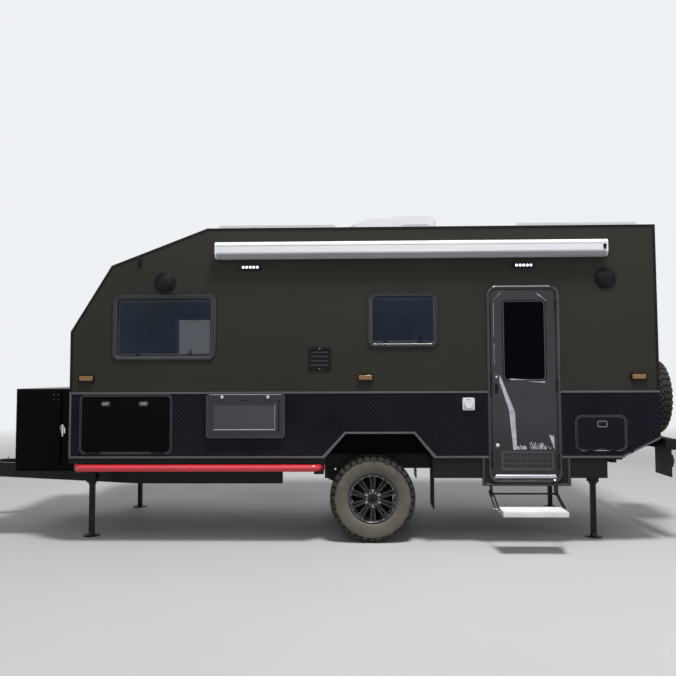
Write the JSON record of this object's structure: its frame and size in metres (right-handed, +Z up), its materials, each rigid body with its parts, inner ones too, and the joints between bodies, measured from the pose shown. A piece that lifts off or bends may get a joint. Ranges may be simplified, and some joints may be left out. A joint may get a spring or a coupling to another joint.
{
  "type": "off-road caravan trailer",
  "caption": "Single-axle hard-top off-road caravan with a sloped nose, front box, side hatches, awning, fold-out step, corner legs and a rear spare wheel.",
  "frame": {"origin": "centre of the coupling's ball cup, on the caravan's centre plane", "axes": "+X back along the caravan, -Y to the door side, +Z up"},
  "size_m": [7.5785, 2.7487, 3.2153],
  "materials": {
    "olive_paint": "satin dark olive-charcoal coach paint",
    "checker_black": "black coated checker plate",
    "black_steel": "satin black chassis paint",
    "bright_trim": "bright aluminium strip",
    "galvanised": "zinc-plated steel",
    "white_moulding": "white moulded plastic and coated aluminium",
    "black_plastic": "black moulded plastic",
    "dark_glass": "tinted acrylic",
    "amber_lens": "amber lamp lens",
    "red_lens": "red lamp lens",
    "red_paint": "gloss red powder coat",
    "tyre_rubber": "dusty tyre rubber",
    "alloy_black": "gloss black alloy with bright edges",
    "rubber": "black rubber",
    "grey_laminate": "dark grey coated table panel",
    "step_silver": "silver coated step tread",
    "solar_cells": "dark solar cells under glass"
  },
  "bodies": {
    "trailer": {"chassis": "black_steel", "side_members": "black_steel", "drawbar": "black_steel", "coupling": "galvanised", "floor": "black_steel", "wall_left": "olive_paint", "wall_right": "olive_paint", "front_wall": "olive_paint", "front_slope": "olive_paint", "brow_panel": "olive_paint", "roof": "olive_paint", "rear_wall": "olive_paint", "rear_slope": "olive_paint", "wheel_arches": "black_steel", "lower_cladding": "checker_black", "trims": "bright_trim", "window_frames": "black_plastic", "window_panes": "dark_glass", "hatch_frames": "black_plastic", "door_frame": "black_plastic", "step_well": "black_steel", "awning": "white_moulding", "marker_lamps": "amber_lens", "wall_fittings": "black_plastic", "air_conditioner": "white_moulding", "solar_panels": "solar_cells", "front_box": "checker_black", "side_rails": "red_paint", "suspension": "black_steel", "air_springs": "rubber", "mudflaps": "rubber", "water_tanks": "black_plastic", "rear_bumper": "black_steel", "tail_lamps": "red_lens", "spare_carrier": "black_steel", "spare_tyre": "tyre_rubber", "spare_rim": "alloy_black", "jockey_outer": "galvanised"},
    "entry_door": {"door_leaf": "black_plastic", "door_glass": "dark_glass"},
    "boot_left": {"boot_hatch_left": "checker_black"},
    "boot_right": {"boot_hatch_right": "checker_black"},
    "locker": {"rear_hatch": "checker_black"},
    "table": {"table_leaf": "grey_laminate"},
    "box_left": {"box_door_left": "checker_black"},
    "box_right": {"box_door_right": "checker_black"},
    "wheel_left": {"tyre_left": "tyre_rubber", "rim_left": "alloy_black"},
    "wheel_right": {"tyre_right": "tyre_rubber", "rim_right": "alloy_black"},
    "step_swing": {"step_arms": "black_steel"},
    "step_guides": {"step_links": "black_steel"},
    "step_plate": {"step_tread": "step_silver"},
    "corner_fl": {"leg_front_left": "black_steel"},
    "corner_fr": {"leg_front_right": "black_steel"},
    "corner_rl": {"leg_rear_left": "black_steel"},
    "corner_rr": {"leg_rear_right": "black_steel"},
    "jockey_post": {"jockey_stem": "galvanised"},
    "jockey_caster": {"jockey_fork": "galvanised"},
    "jockey_roller": {"jockey_wheel": "rubber"}
  },
  "joints": [
    {"name": "wheel_left_spin", "type": "hinge", "parent": "trailer", "child": "wheel_left", "pos_m": [4.448, -0.96, -0.173], "axis": [0, 1, 0], "continuous": true},
    {"name": "wheel_right_spin", "type": "hinge", "parent": "trailer", "child": "wheel_right", "pos_m": [4.448, 0.96, -0.173], "axis": [0, 1, 0], "continuous": true},
    {"name": "door_swing", "type": "hinge", "parent": "trailer", "child": "entry_door", "pos_m": [6.141, -1.168, 0.875], "axis": [0, 0, 1], "range_deg": [0, 100]},
    {"name": "boot_left_drop", "type": "hinge", "parent": "trailer", "child": "boot_left", "pos_m": [2.1535, -1.164, 0.266], "axis": [1, 0, 0], "range_deg": [0, 90]},
    {"name": "boot_right_drop", "type": "hinge", "parent": "trailer", "child": "boot_right", "pos_m": [2.1535, 1.164, 0.266], "axis": [-1, 0, 0], "range_deg": [0, 90]},
    {"name": "locker_drop", "type": "hinge", "parent": "trailer", "child": "locker", "pos_m": [6.535, -1.164, 0.29], "axis": [1, 0, 0], "range_deg": [0, 90]},
    {"name": "table_drop", "type": "hinge", "parent": "trailer", "child": "table", "pos_m": [3.2765, -1.1655, 0.4], "axis": [1, 0, 0], "range_deg": [0, 90]},
    {"name": "box_left_swing", "type": "hinge", "parent": "trailer", "child": "box_left", "pos_m": [1.027, -0.926, 0.466], "axis": [0, 0, -1], "range_deg": [0, 110]},
    {"name": "box_right_swing", "type": "hinge", "parent": "trailer", "child": "box_right", "pos_m": [1.027, 0.926, 0.466], "axis": [0, 0, 1], "range_deg": [0, 110]},
    {"name": "step_fold", "type": "hinge", "parent": "trailer", "child": "step_swing", "pos_m": [5.8375, -1.12, -0.115], "axis": [1, 0, 0], "range_deg": [0, 152]},
    {"name": "step_guide_fold", "type": "hinge", "parent": "trailer", "child": "step_guides", "pos_m": [5.8375, -1.04044, -0.10664], "axis": [1, 0, 0], "range_deg": [0, 152]},
    {"name": "step_level", "type": "hinge", "parent": "step_swing", "child": "step_plate", "pos_m": [5.8375, -1.4207, -0.22445], "axis": [1, 0, 0], "range_deg": [-152, 0]},
    {"name": "leg_fl_fold", "type": "hinge", "parent": "trailer", "child": "corner_fl", "pos_m": [1.713, -0.783, -0.015], "axis": [0, -1, 0], "range_deg": [0, 90]},
    {"name": "leg_fr_fold", "type": "hinge", "parent": "trailer", "child": "corner_fr", "pos_m": [1.713, 0.783, -0.015], "axis": [0, -1, 0], "range_deg": [0, 90]},
    {"name": "leg_rl_fold", "type": "hinge", "parent": "trailer", "child": "corner_rl", "pos_m": [6.565, -0.783, -0.015], "axis": [0, 1, 0], "range_deg": [0, 90]},
    {"name": "leg_rr_fold", "type": "hinge", "parent": "trailer", "child": "corner_rr", "pos_m": [6.565, 0.783, -0.015], "axis": [0, 1, 0], "range_deg": [0, 90]},
    {"name": "jockey_lift", "type": "slide", "parent": "trailer", "child": "jockey_post", "axis": [0, 0, 1], "range_m": [0, 0.24]},
    {"name": "jockey_swivel", "type": "hinge", "parent": "jockey_post", "child": "jockey_caster", "pos_m": [0.326, 0, -0.36], "axis": [0, 0, 1], "continuous": true},
    {"name": "jockey_roll", "type": "hinge", "parent": "jockey_caster", "child": "jockey_roller", "pos_m": [0.281, 0, -0.475], "axis": [0, 1, 0], "continuous": true}
  ],
  "couplings": [
    {"joint": "step_guide_fold", "follows": "step_fold", "ratio": 1},
    {"joint": "step_level", "follows": "step_fold", "ratio": -1}
  ]
}
